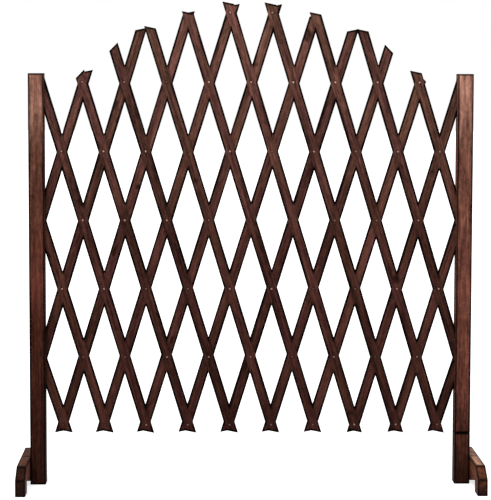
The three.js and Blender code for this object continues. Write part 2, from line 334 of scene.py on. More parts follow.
def slat_run(name):
    """What the frame says of a slat: its middle line, half width, depth range and how its ends are cut.

    The board's four corners are the points furthest along each diagonal. Its middle drifts a little
    from its rivets' line, so it is given as a place across and a slope.
    """
    points = points_of(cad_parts[name])
    along, across = along_and_across(name, points[:, 0], points[:, 2])
    low_start, high_start = np.argmin(along + across), np.argmin(along - across)
    low_end, high_end = np.argmax(along - across), np.argmax(along + across)
    start, end = (along[low_start] + along[high_start]) / 2, (along[low_end] + along[high_end]) / 2
    first, last = (across[low_start] + across[high_start]) / 2, (across[low_end] + across[high_end]) / 2
    size = across[high_start] - across[low_start]
    at_corner = np.hypot(along - along[low_start], across - across[low_start]) < 2 * SLACK
    slope = (last - first) / (end - start)
    return {
        "middle": first - slope * start,
        "slope": slope,
        "half": size / 2,
        "start": (start, (along[high_start] - along[low_start]) / size),
        "end": (end, (along[high_end] - along[low_end]) / size),
        "near": points[at_corner, 1].min(),
        "far": points[at_corner, 1].max(),
    }


def middle_at(run, along):
    """Where across a slat's face its middle line is, at a place along it."""
    return run["middle"] + run["slope"] * along


def rivets_on(name):
    """Places along and across a front slat of its rivets, read from the flat tops of their heads."""
    points = points_of(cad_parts[name])
    heads = points[points[:, 1] < points[:, 1].min() + SLACK]
    places = np.stack(along_and_across(name, heads[:, 0], heads[:, 2]), axis=1)
    steps = np.round((places[:, 0] - places[:, 0].min()) / PITCH)
    return np.array([places[steps == step].mean(axis=0) for step in np.unique(steps)])


def rivet_places():
    """The x and z of every rivet in the lattice."""
    return np.concatenate([np.stack(slat_place(name, *rivets_on(name).T), axis=1) for name in slat_names("front")])


def pin_places():
    """The x and z of the two pivot pins."""
    return np.array([where(f"{side}_pivot_pin").centre[[0, 2]] for side in SIDES])


def places_along(name, run, places):
    """Those of the lattice's places that lie on a slat, as places along and across it."""
    along, across = along_and_across(name, places[:, 0], places[:, 1])
    on_slat = np.abs(across - middle_at(run, along)) < run["half"]
    inside = (along > run["start"][0]) & (along < run["end"][0])
    return np.stack([along, across], axis=1)[on_slat & inside]


class SlatSettings(PropertyGroup):
    arris: length("Arris", "Radius that the slats' long edges are eased to", 0.0009)
    end_ease: length("End ease", "Radius that the cut ends are eased to", 0.0006)
    play: length("Play", "How far a slat's edges wander inwards", 0.0003)
    spacing: length("Spacing", "Distance between the rings of a slat's mesh", 0.011)
    rivet_hole: length("Rivet hole", "Radius of the hole that a rivet turns in", 0.0019)
    pin_hole: length("Pin hole", "Radius of the hole that a pivot pin turns in", 0.0028)
    front_tones: tones("Front tones", "How light each front slat's board is, from the left",
                       1.2, 0.5, -0.4, -0.3, -1.3, -0.1, -0.5, 0.3, -0.3, -0.1, -0.9, 0.5)
    back_tones: tones("Back tones", "How light each back slat's board is, from the left",
                      0.5, -0.2, 0.1, 0.5, 0.7, 0.3, -0.8, 0.0, 1.5, 0.2, 1.1, 0.1)


def build_slat(name, settings, places, pins, rng, material, tone):
    """One slat: a rounded board whose ends are skewed as the frame's are, drilled at its rivets."""
    run = slat_run(name)
    (start, start_skew), (end, end_skew), near, far = run["start"], run["end"], run["near"], run["far"]
    halves, level, size = (run["half"], (far - near) / 2), (near + far) / 2, end - start
    stations, insets = eased_stations(size, settings.end_ease, settings.spacing)
    rings = board_rings(halves, settings.arris, stations, insets, rng, settings.play, SLAT_STEPS)
    share_along = rings[..., 0] / size
    skew = start_skew * (1 - share_along) + end_skew * share_along
    along = start + rings[..., 0] + skew * rings[..., 1]
    x, z = slat_place(name, along, middle_at(run, along) + rings[..., 1])
    piece = new_object(name + "_board", carried(np.stack([x, level + rings[..., 2], z], axis=-1)))

    holes = []
    rivets = places_along(name, run, places)
    for drilled, radius in ((rivets, settings.rivet_hole), (places_along(name, run, pins), settings.pin_hole)):
        for spot in drilled:
            x, z = slat_place(name, *spot)
            holes.append(laid(rod(radius, near - OVERRUN, far + OVERRUN, 20), "Y", (x, 0, z)))
    cut(piece, holes)

    points = points_of(piece)
    along, across = along_and_across(name, points[:, 0], points[:, 2])
    first, line = rivets[np.argmin(rivets[:, 0])]
    drift = middle_at(run, along) - line
    across = across - line - drift
    grain = np.stack([along - first, across, points[:, 1] - level], axis=1)
    ends = np.minimum(along - start - start_skew * across, end + end_skew * across - along)
    seed, pith = rng.uniform(0, 10), rng.uniform(-PITH_ASIDE, PITH_ASIDE)
    mark_wood(piece, grain, halves, ends, seed, tone, pith, drift)
    finish_piece(piece, name, material, name)


class TRELLIS_OT_slats(Operator):
    """Build the 24 slats of the lattice, front and back"""

    bl_idname = "trellis.slats"
    bl_label = "Slats"

    def execute(self, context):
        settings = context.scene.trellis_slats
        places, pins = rivet_places(), pin_places()
        rng = np.random.default_rng(SEEDS["slats"])
        for layer in ("front", "back"):
            material = slat_wood(layer, context.scene.trellis_colours)
            for name, tone in zip(slat_names(layer), getattr(settings, f"{layer}_tones")):
                build_slat(name, settings, places, pins, rng, material, tone)
        return {"FINISHED"}


# Rivets

RIVET_SIDES = 18
HEAD_LIP = 0.00005  # how far the head's rim stands off the wood
HEAD_SUNK = 0.00008  # how far the head's underside is pressed into it
DIMPLE_DEPTH = 0.0006
BARE_SPREAD = (2.2, 1.7)  # the beta spread of how bare the rivets are, a little more bare than filmed


class RivetSettings(PropertyGroup):
    head_radius: length("Head radius", "Radius of a rivet's head and of its clinched end", 0.0026)
    head_height: length("Head height", "How far a rivet's head stands off the wood", 0.0012)
    rim: length("Rim", "Thickness of the head at its edge", 0.0003)
    shank_radius: length("Shank radius", "Radius of a rivet's shank", 0.0016)
    dimple_radius: length("Dimple radius", "Radius of the hollow in the clinched end", 0.0009)
    gap: length("Running gap", "Gap between the back slat and the clinched end", 0.0003)


def rivet_rings(settings, front, rear):
    """A rivet turned about Y: a low dome on the front slat, its shank, and a rolled end with a dimple.

    The dome's radius is R sin t and its height (H - rim) cos t; the roll is a half circle between the
    clinched end's edge and its dimple.
    """
    head, shank, dimple = settings.head_radius, settings.shank_radius, settings.dimple_radius
    crown = settings.head_height - settings.rim
    back = rear + settings.gap
    turn = np.radians(np.array([3, 22, 40, 56, 70, 81, 90]))
    roll = np.radians(np.linspace(0, 180, 8))
    dome_heights = front - settings.rim - crown * np.cos(turn)
    roll_radii = (head + dimple) / 2 + (head - dimple) / 2 * np.cos(roll)
    roll_heights = back + settings.rim + crown * np.sin(roll)
    radii = np.concatenate([head * np.sin(turn), [head, head * 0.94, shank, shank, head * 0.9], roll_radii,
                            [dimple * 0.92, dimple * 0.1]])
    heights = np.concatenate([dome_heights, [front - HEAD_LIP, front + HEAD_SUNK, front + HEAD_SUNK, back, back],
                              roll_heights, [back - DIMPLE_DEPTH * 2 / 3, back - DIMPLE_DEPTH]])
    return turned_rings(radii, heights, RIVET_SIDES)


class TRELLIS_OT_rivets(Operator):
    """Build the rivets that pin the two layers together, a set for each front slat"""

    bl_idname = "trellis.rivets"
    bl_label = "Rivets"

    def execute(self, context):
        settings = context.scene.trellis_rivets
        material = rivet_steel(context.scene.trellis_colours)
        rng = np.random.default_rng(SEEDS["rivets"])
        rear = slat_run(slat_names("back")[0])["far"]
        for name in slat_names("front"):
            rings = rivet_rings(settings, slat_run(name)["near"], rear)
            skins, bare = [], []
            for spot in rivets_on(name):
                x, z = slat_place(name, *spot)
                skins.append(laid(carried(rings), "Y", (x, 0, z)))
                bare.append(np.full(rings.shape[0] * rings.shape[1], rng.beta(*BARE_SPREAD)))
            piece = new_object(name.replace("slat", "rivets"), joined(skins))
            mark(piece, "bare", np.concatenate(bare))
            finish_piece(piece, name, material, name, sharp=50)
        return {"FINISHED"}


# Posts

POST_STEPS = (4, 4, 4)  # as for the slats
SCREW_BORE = 0.0025  # radius of the bores that the foot screws bite into


class PostSettings(PropertyGroup):
    arris: length("Arris", "Radius that the posts' long edges are eased to", 0.0016)
    end_ease: length("End ease", "Radius that the posts' ends are eased to, also at the joint", 0.0014)
    play: length("Play", "How far a post's faces wander inwards", 0.0002)
    spacing: length("Spacing", "Distance between the rings of a post's mesh", 0.02)
    groove_width: length("Groove width", "Width of the routed groove that the slats' ends run in", 0.0187)
    groove_depth: length("Groove depth", "How deep the groove goes into the post", 0.02845)
    groove_floor: length("Groove floor", "Height at which the groove's round end stops", 0.090)
    mouth: length("Mouth chamfer", "How far the groove's mouth is eased", 0.0008)
    bore_play: length("Bore play", "Gap round a pin, dowel or screw in its bore", 0.0003)


def groove_skin(settings, stock):
    """The groove's cutter: a slot with a round lower end, carried into the post from its inner face.

    At each ring the slot's half width is the groove's plus what the mouth's chamfer adds there.
    """
    half = settings.groove_width / 2
    wide = half + np.array([settings.mouth, settings.mouth, 0.0, 0.0])[:, None]
    reach = np.array([-OVERRUN, 0.0, settings.mouth, settings.groove_depth])
    turn = np.radians(np.linspace(180, 360, 17))
    rings = np.empty((4, len(turn) + 2, 3))
    rings[..., 0] = stock.way * (stock.near + reach[:, None])
    rings[..., 1] = wide * np.concatenate([[-1.0], np.cos(turn), [1.0]])
    rings[..., 2] = wide * np.concatenate([[0.0], np.sin(turn), [0.0]]) + settings.groove_floor + half
    rings[:, [0, -1], 2] = stock.high[2] + OVERRUN
    return carried(rings[:, ::stock.way])


def bores_in(stock, gap):
    """Cutters for the pin, dowels and screws that cross a post's box, a gap wider than they are."""
    skins = []
    for name in sorted(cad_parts):
        if not any(kind in name for kind in ("pivot_pin", "dowel", "screw")):
            continue
        piece = where(name)
        x, y, z = piece.centre
        if piece.way != stock.way or (piece.low > stock.high).any() or (piece.high < stock.low).any():
            continue
        if "pivot_pin" in name:
            bore = rod(piece.half[0] + gap, piece.low[1] - gap, piece.high[1] + OVERRUN, 20)
            skins.append(laid(bore, "Y", (x, 0, z)))
        elif "dowel" in name:
            bore = rod(piece.half[0] + gap, piece.low[2] - gap, piece.high[2] + gap, 24)
            skins.append(laid(bore, "Z", (x, y, 0)))
        else:
            bore = rod(SCREW_BORE, piece.near - gap, piece.far + OVERRUN, 16)
            skins.append(laid(bore, "X", (0, y, z), stock.way))
    return skins


def build_post(name, settings, rng, material, tone):
    """One length of post: a rounded board on end with its groove and bores cut out."""
    stock = where(name)
    (x, y, _), base, top = stock.centre, stock.low[2], stock.high[2]
    stations, insets = eased_stations(top - base, settings.end_ease, settings.spacing)
    rings = board_rings(stock.half, settings.arris, stations, insets, rng, settings.play, POST_STEPS)
    piece = new_object(name + "_stock", laid(carried(rings), "Z", (x, y, base)))
    cut(piece, [groove_skin(settings, stock)])
    cut(piece, bores_in(stock, settings.bore_play))
    points = points_of(piece)
    grain = np.stack([points[:, 2], points[:, 0] - x, points[:, 1]], axis=1)
    ends = np.minimum(points[:, 2] - base, top - points[:, 2])
    mark_wood(piece, grain, stock.half[:2], ends, rng.uniform(0, 10), tone)
    finish_piece(piece, stock.stand, material, name)


class TRELLIS_OT_posts(Operator):
    """Build the two grooved posts, the right one in two lengths"""

    bl_idname = "trellis.posts"
    bl_label = "Posts"

    def execute(self, context):
        settings = context.scene.trellis_posts
        rng = np.random.default_rng(SEEDS["posts"])
        left, right = (post_wood(side, context.scene.trellis_colours) for side in SIDES)
        build_post("left_post", settings, rng, left, 0.0)
        build_post("right_post", settings, rng, right, 0.3)
        build_post("right_post_base", settings, rng, right, -0.6)
        return {"FINISHED"}


# Feet

FOOT_SPACING = 0.006  # between the rings through a foot's plank
SINK_DEPTH = 0.0042  # from the foot's outer face to the countersink's bottom
SINK_LAND = 0.0006  # of which this much is straight
FOOT_PITH = 0.012  # how far to its side the tree's pith lay
FOOT_TONES = {"left_foot_front": 0.5, "left_foot_rear": -0.5, "right_foot_front": 0.1, "right_foot_rear": 0.0}


class FootSettings(PropertyGroup):
    corner: length("Corner", "Radius of the foot's corners seen from the side", 0.0014)
    arris: length("Arris", "Radius that the foot's long edges are eased to", 0.0012)
    screw_hole: length("Screw hole", "Radius of the hole that a foot screw passes", 0.0025)
    sink_radius: length("Countersink", "Radius of the countersink in the foot's outer face", 0.0048)


def foot_corners(name):
    """A foot half's side outline from the frame, as distance from the joint and height, anticlockwise."""
    points = points_of(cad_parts[name])
    out, up = np.abs(points[:, 1]), points[:, 2]
    joint, end, top = out.min(), out.max(), up.max()
    pad = out[up < SLACK].min()
    at_joint = up[out < joint + SLACK]
    crest = out[up > top - SLACK]
    notch = up[(np.abs(out - pad) < SLACK) & (up > SLACK)].min()
    shoulder = up[out > end - SLACK].max()
    return np.array([(joint, at_joint.min()), (pad, notch), (pad, 0), (end, 0), (end, shoulder),
                     (crest.max(), top), (crest.min(), top), (joint, at_joint.max())])


def rounded_outline(corners, radius, steps):
    """Corners of an outline rounded by arcs of one radius, inner corners as well as outer ones.

    An arc starts and ends r / tan(half the corner's angle) from the corner, and its centre lies on the
    corner's bisector. Each point comes with the way out of the outline there.
    """
    back = np.roll(corners, 1, axis=0) - corners
    ahead = np.roll(corners, -1, axis=0) - corners
    back /= np.linalg.norm(back, axis=1)[:, None]
    ahead /= np.linalg.norm(ahead, axis=1)[:, None]
    half_angle = np.arccos(np.clip((back * ahead).sum(axis=1), -1, 1)) / 2
    bisector = back + ahead
    bisector /= np.linalg.norm(bisector, axis=1)[:, None]
    centre = corners + bisector * (radius / np.sin(half_angle))[:, None]
    from_point = corners + back * (radius / np.tan(half_angle))[:, None] - centre
    to_point = corners + ahead * (radius / np.tan(half_angle))[:, None] - centre
    start = np.arctan2(from_point[:, 1], from_point[:, 0])
    sweep = np.arctan2(to_point[:, 1], to_point[:, 0]) - start
    sweep = (sweep + math.pi) % (2 * math.pi) - math.pi
    turn = start[:, None] + sweep[:, None] * np.linspace(0, 1, steps + 1)
    spokes = np.stack([np.cos(turn), np.sin(turn)], axis=-1)
    outward = np.sign(sweep)[:, None, None] * spokes
    return (centre[:, None] + radius * spokes).reshape(-1, 2), outward.reshape(-1, 2)


def build_foot_half(name, settings, rng, material):
    """One half of a foot: its side outline carried through the plank, drawn in at both faces' arrises."""
    plank = where(name)
    facing = -1 if "front" in name else 1
    outline, outward = rounded_outline(foot_corners(name), settings.corner, 4)
    thickness = plank.high[0] - plank.low[0]
    stations, insets = eased_stations(thickness, settings.arris, FOOT_SPACING, 4)
    flat = outline[None] - outward[None] * insets[:, None, None]
    rings = np.empty(flat.shape[:2] + (3,))
    rings[..., 0] = plank.low[0] + stations[:, None]
    rings[..., 1] = facing * flat[..., 0]
    rings[..., 2] = flat[..., 1]
    piece = new_object(name + "_plank", carried(rings[:, ::facing]))

    radii = [settings.screw_hole, settings.screw_hole, settings.sink_radius, settings.sink_radius]
    depths = [thickness + OVERRUN, SINK_DEPTH, SINK_LAND, -OVERRUN]
    hole = carried(turned_rings(radii, plank.far - np.array(depths), 24))
    screws = sorted(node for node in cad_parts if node.startswith(name.replace("foot_", "foot_screw_")))
    cut(piece, [laid(hole, "X", where(screw).centre * (0, 1, 1), plank.way) for screw in screws])

    points = points_of(piece)
    grain = np.stack([points[:, 1], points[:, 2], points[:, 0] - plank.centre[0]], axis=1)
    ends = np.abs(points[:, 1]) - np.abs(points[:, 1]).min()
    mark_wood(piece, grain, (1.0, thickness / 2), ends, rng.uniform(0, 10), FOOT_TONES[name], FOOT_PITH)
    finish_piece(piece, plank.stand, material, name)


class TRELLIS_OT_feet(Operator):
    """Build the two feet, each in a front and a rear half"""

    bl_idname = "trellis.feet"
    bl_label = "Feet"

    def execute(self, context):
        rng = np.random.default_rng(SEEDS["feet"])
        for side in SIDES:
            material = foot_wood(side, context.scene.trellis_colours)
            for half in ("front", "rear"):
                build_foot_half(f"{side}_foot_{half}", context.scene.trellis_feet, rng, material)
        return {"FINISHED"}


# Fastenings

SCREW_SHANK = 0.0022  # radius over the thread
SCREW_HEAD = 0.0035  # depth of the head, from its face to the neck
SCREW_NECK = 0.0075  # length of the smooth neck behind it
SCREW_POINT = 0.006
SCREW_SIDES = 24
CROSS_DEPTH = 0.0024
CROSS_FLOOR = 0.35  # the recess's size at its floor, as a share of its size at the head's face
DOWEL_SIDES = 60
DOWEL_FLUTES = 10
DOWEL_SEED = 3.0


class FastenerSettings(PropertyGroup):
    pin_chamfer: length("Pin chamfer", "Chamfer on a pivot pin's ends", 0.0005)
    dowel_chamfer: length("Dowel chamfer", "Chamfer on a dowel's ends", 0.0009)
    flute_depth: length("Flute depth", "Depth of the flutes pressed into a dowel", 0.0003)
    thread_pitch: length("Thread pitch", "Distance between a foot screw's threads", 0.0018)
    thread_depth: length("Thread depth", "How far the thread stands off a screw's core", 0.0006)
    cross_width: length("Cross width", "Width of each arm of the recess in a screw's head", 0.0011)
    cross_reach: length("Cross reach", "How far the recess reaches from the middle of the head", 0.0026)


def screw_rings(settings, head_radius, tip, face):
    """A wood screw about its axis: a pointed, threaded shank and a countersunk head.

    The thread adds depth times the fourth power of a wave that climbs one pitch each turn; it fades
    out below the smooth neck under the head.
    """
    point, neck = tip + SCREW_POINT, face - SCREW_HEAD
    smooth, edge, brim = neck - SCREW_NECK, face - 0.0005, face - 0.0001
    core, shank = SCREW_SHANK - settings.thread_depth, SCREW_SHANK * 0.9
    threads = np.arange(tip + 0.0003, smooth - 0.0005, settings.thread_pitch / 6)
    heights = np.concatenate([[tip], threads, [smooth, neck, edge, brim, face]])
    radii = np.interp(heights, [tip, point, smooth - 0.0015, smooth, neck, edge, brim, face],
                      [0.0002, core, core, shank, shank, head_radius - 0.0001, head_radius, head_radius - 0.0003])
    rings = turned_rings(radii, heights, SCREW_SIDES)
    climb = heights[:, None] / settings.thread_pitch - np.linspace(0, 1, SCREW_SIDES, endpoint=False)
    ridge = (0.5 + 0.5 * np.cos(2 * math.pi * climb)) ** 4
    fade = np.interp(heights, [tip, point, smooth - 0.0025, smooth - 0.001], [0.2, 1.0, 1.0, 0.0])
    rings[..., 1:] *= (1 + settings.thread_depth * ridge * (fade / radii)[:, None])[..., None]
    return rings


def cross_arm(wide, tall, face):
    """One arm of a cross recess: a rectangle carried out of the head from its smaller floor."""
    arm = np.empty((3, 4, 3))
    arm[..., 0] = face + np.array([-CROSS_DEPTH, 0.0, 0.001])[:, None]
    arm[..., 1:] = np.array([(wide, -tall), (wide, tall), (-wide, tall), (-wide, -tall)])
    arm[0, :, 1:] *= CROSS_FLOOR
    return carried(arm)


class TRELLIS_OT_fastenings(Operator):
    """Build the foot screws and the pivot pins"""

    bl_idname = "trellis.fastenings"
    bl_label = "Screws and pins"

    def execute(self, context):
        settings = context.scene.trellis_fastenings
        steel = fastening_steel(context.scene.trellis_colours)
        narrow, long = settings.cross_width / 2, settings.cross_reach
        for name in sorted(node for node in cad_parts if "screw" in node):
            screw = where(name)
            spot = "X", screw.centre * (0, 1, 1), screw.way
            rings = screw_rings(settings, screw.half[2], screw.near, screw.far)
            piece = new_object(name + "_turned", laid(carried(rings), *spot))
            cut(piece, [laid(cross_arm(narrow, long, screw.far), *spot)])
            cut(piece, [laid(cross_arm(long, narrow, screw.far), *spot)])
            finish_piece(piece, screw.stand, steel, name, sharp=30)
        for side in SIDES:
            name = f"{side}_pivot_pin"
            pin = where(name)
            skin = rod(pin.half[2], pin.low[1], pin.high[1], 32, settings.pin_chamfer)
            piece = new_object(name + "_turned", laid(skin, "Y", pin.centre * (1, 0, 1)))
            finish_piece(piece, pin.stand, steel, name, sharp=30)
        return {"FINISHED"}


class TRELLIS_OT_dowels(Operator):
    """Build the two fluted dowels across the right post's joint"""

    bl_idname = "trellis.dowels"
    bl_label = "Dowels"

    def execute(self, context):
        settings = context.scene.trellis_fastenings
        wood = dowel_wood(context.scene.trellis_colours)
        turn = np.linspace(0, 2 * math.pi, DOWEL_SIDES, endpoint=False)
        # The flutes take away their depth times the third power of a wave that runs round the dowel
        flute = settings.flute_depth * (0.5 - 0.5 * np.cos(DOWEL_FLUTES * turn)) ** 3
        for half in ("front", "rear"):
            name = f"joint_dowel_{half}"
            dowel = where(name)
            radius, chamfer, (_, _, low), (_, _, high) = dowel.half[0], settings.dowel_chamfer, dowel.low, dowel.high
            heights = np.concatenate([[low], np.linspace(low + chamfer, high - chamfer, 9), [high]])
            radii = np.full(len(heights), radius)
            radii[[0, -1]] -= chamfer
            rings = turned_rings(radii, heights, DOWEL_SIDES)
            rings[..., 1:] *= (1 - flute / radius)[None, :, None]
            middle = dowel.centre * (1, 1, 0)
            piece = new_object(name + "_fluted", laid(carried(rings), "Z", middle))
            points = points_of(piece)
            ends = np.minimum(points[:, 2] - low, high - points[:, 2])
            mark_wood(piece, (points - middle)[:, [2, 0, 1]], (radius, radius), ends, DOWEL_SEED, 0.0)
            finish_piece(piece, dowel.stand, wood, name)
        return {"FINISHED"}


# Materials


def sign(operation, turned=False):
    """An arithmetic sign for signals. It adds a Math node, with the two inputs turned round if asked."""
    def apply(self, other=0.0):
        return self.wiring.math(operation, *((other, self) if turned else (self, other)))
    return apply


class Signal:
    """A node's output, which can be reckoned with as a number can."""

    def __init__(self, wiring, socket):
        self.wiring, self.socket = wiring, socket

    __add__ = __radd__ = sign("ADD")
    __sub__, __rsub__ = sign("SUBTRACT"), sign("SUBTRACT", turned=True)
    __mul__ = __rmul__ = sign("MULTIPLY")
    __truediv__, __pow__, __abs__ = sign("DIVIDE"), sign("POWER"), sign("ABSOLUTE")


class Wiring:
    """Adds nodes to a material or a world and joins them. A value is a number, a tuple or a signal."""

    def __init__(self, owner):
        owner.use_nodes = True
        self.owner, self.tree = owner, owner.node_tree
        self.shader = next(node for node in self.tree.nodes if node.type in ("BSDF_PRINCIPLED", "BACKGROUND"))

    def node(self, kind, values=(), **settings):
        node = self.tree.nodes.new(kind)
        for key, value in settings.items():
            setattr(node, key, value)
        for key, value in dict(values).items():
            self.feed(node.inputs[key], value)
        return node

    def signal(self, kind, values=(), output=0, **settings):
        return Signal(self, self.node(kind, values, **settings).outputs[output])

    def feed(self, socket, value):
        if isinstance(value, Signal):
            self.tree.links.new(value.socket, socket)
        elif isinstance(value, tuple) and socket.type == "RGBA":
            socket.default_value = (*value, 1.0)
        else:
            socket.default_value = value

    def math(self, operation, first, second=0.0, clamp=False):
        return self.signal("ShaderNodeMath", {0: first, 1: second}, operation=operation, use_clamp=clamp)

    def least(self, first, second):
        return self.math("MINIMUM", first, second)

    def most(self, first, second):
        return self.math("MAXIMUM", first, second)

    def reach(self, first, second):
        """How far two lengths at right angles reach together."""
        return self.math("SQRT", first * first + second * second)

    def vector(self, operation, first, second):
        return self.signal("ShaderNodeVectorMath", {0: first, 1: second}, operation=operation)

    def scaled(self, vector, scale):
        return self.signal("ShaderNodeVectorMath", {0: vector, "Scale": scale}, operation="SCALE")

    def parts(self, vector):
        return [Signal(self, part) for part in self.node("ShaderNodeSeparateXYZ", {0: vector}).outputs]

    def attribute(self, name, output):
        return self.signal("ShaderNodeAttribute", output=output, attribute_name=name)

    def place(self, output):
        return self.signal("ShaderNodeTexCoord", output=output)

    def noise(self, vector, scale, detail, roughness, distortion=0.0):
        """Noise with so many waves a metre along each axis."""
        values = {"Vector": self.vector("MULTIPLY", vector, scale), "Scale": 1.0, "Detail": detail,
                  "Roughness": roughness, "Distortion": distortion}
        return self.signal("ShaderNodeTexNoise", values, "Fac")

    def between(self, value, low, high, start=0.0, stop=1.0):
        """Start below low, stop above high, and a smooth step between."""
        values = {0: value, 1: low, 2: high, 3: start, 4: stop}
        return self.signal("ShaderNodeMapRange", values, interpolation_type="SMOOTHSTEP")

    def mix(self, amount, first, second, blend="MIX"):
        values = {0: amount, 6: first, 7: second}
        return self.signal("ShaderNodeMix", values, 2, data_type="RGBA", blend_type=blend, clamp_factor=True)

    def ramp(self, value, stops):
        node = self.node("ShaderNodeValToRGB", {0: value})
        elements = node.color_ramp.elements
        elements[0].position, elements[0].color = stops[0][0], (*stops[0][1], 1.0)
        elements[1].position, elements[1].color = stops[-1][0], (*stops[-1][1], 1.0)
        for position, tint in stops[1:-1]:
            elements.new(position).color = (*tint, 1.0)
        return Signal(self, node.outputs[0])

    def watched(self):
        """1 for the rays of a camera, a gloss or a glass, and 0 for those that light a surface."""
        camera, gloss, glass = (self.signal("ShaderNodeLightPath", output=f"Is {ray} Ray")
                                for ray in ("Camera", "Glossy", "Transmission"))
        return self.most(self.most(camera, gloss), glass)

    def finish(self, tint, roughness, height, distance, gloss=0.5):
        bump = self.signal("ShaderNodeBump", {"Strength": 1.0, "Distance": distance, "Height": height})
        self.shader.inputs["Specular IOR Level"].default_value = gloss
        self.feed(self.shader.inputs["Base Color"], tint)
        self.feed(self.shader.inputs["Roughness"], roughness)
        self.feed(self.shader.inputs["Normal"], bump)
        return self.owner


# The wood's patterns: waves a metre along the grain and across it, then detail, roughness and distortion
PATTERNS = {
    "fibres": (28.0, 1700.0, 3.0, 0.6, 0.0),
    "streaks": (11.0, 240.0, 3.0, 0.6, 0.4),
    "lanes": (5.0, 95.0, 2.0, 0.5, 0.6),
    "mottle": (64.0, 140.0, 2.0, 0.6, 0.5),
    "patches": (9.0, 26.0, 3.0, 0.55, 0.0),
    "tints": (3.1, 14.0, 2.0, 0.5, 0.0),
    "bend": (3.4, 22.0, 2.0, 0.5, 0.0),
    "stain": (11.0, 17.0, 2.0, 0.6, 0.3),
}
SEED_SHIFT = (1.37, 0.11, 0.23)  # how far one step of a piece's seed moves it through the patterns
STAIN_SHIFT = (7.7, 0.0, 0.0)
KNOT_SPREAD = (4.5, 21.0, 21.0)  # knots a metre along and across
KNOT_SIZE = (0.05, 0.12)
OTHER_SLAT = (0.0095, 0.0125)  # from its middle, where the slat at a crossing stops hiding this one's painted edge shade
RIVET_DARKENING = (0.0030, 0.0052)  # from the rivet's middle, where the darkening round its head ends
RING_DARKENS, RING_ENDS = (0.25, 0.88), (0.9, 0.99)  # in shares of a growth ring: slowly darker, then pale at once
OLIVE_FROM = (0.42, 0.62)
STAIN_STEP, STAIN_RAGGED = 0.07, 0.16
SIDE_LIGHT_FROM, TOP_LIGHT_AND_BLEACH_FROM = (0.7, 0.95), (0.93, 0.985)  # how far a face looks aside for painted side light, or up to turn paler, partly painted light and partly sun-bleaching
EYE_POWER = 2.2


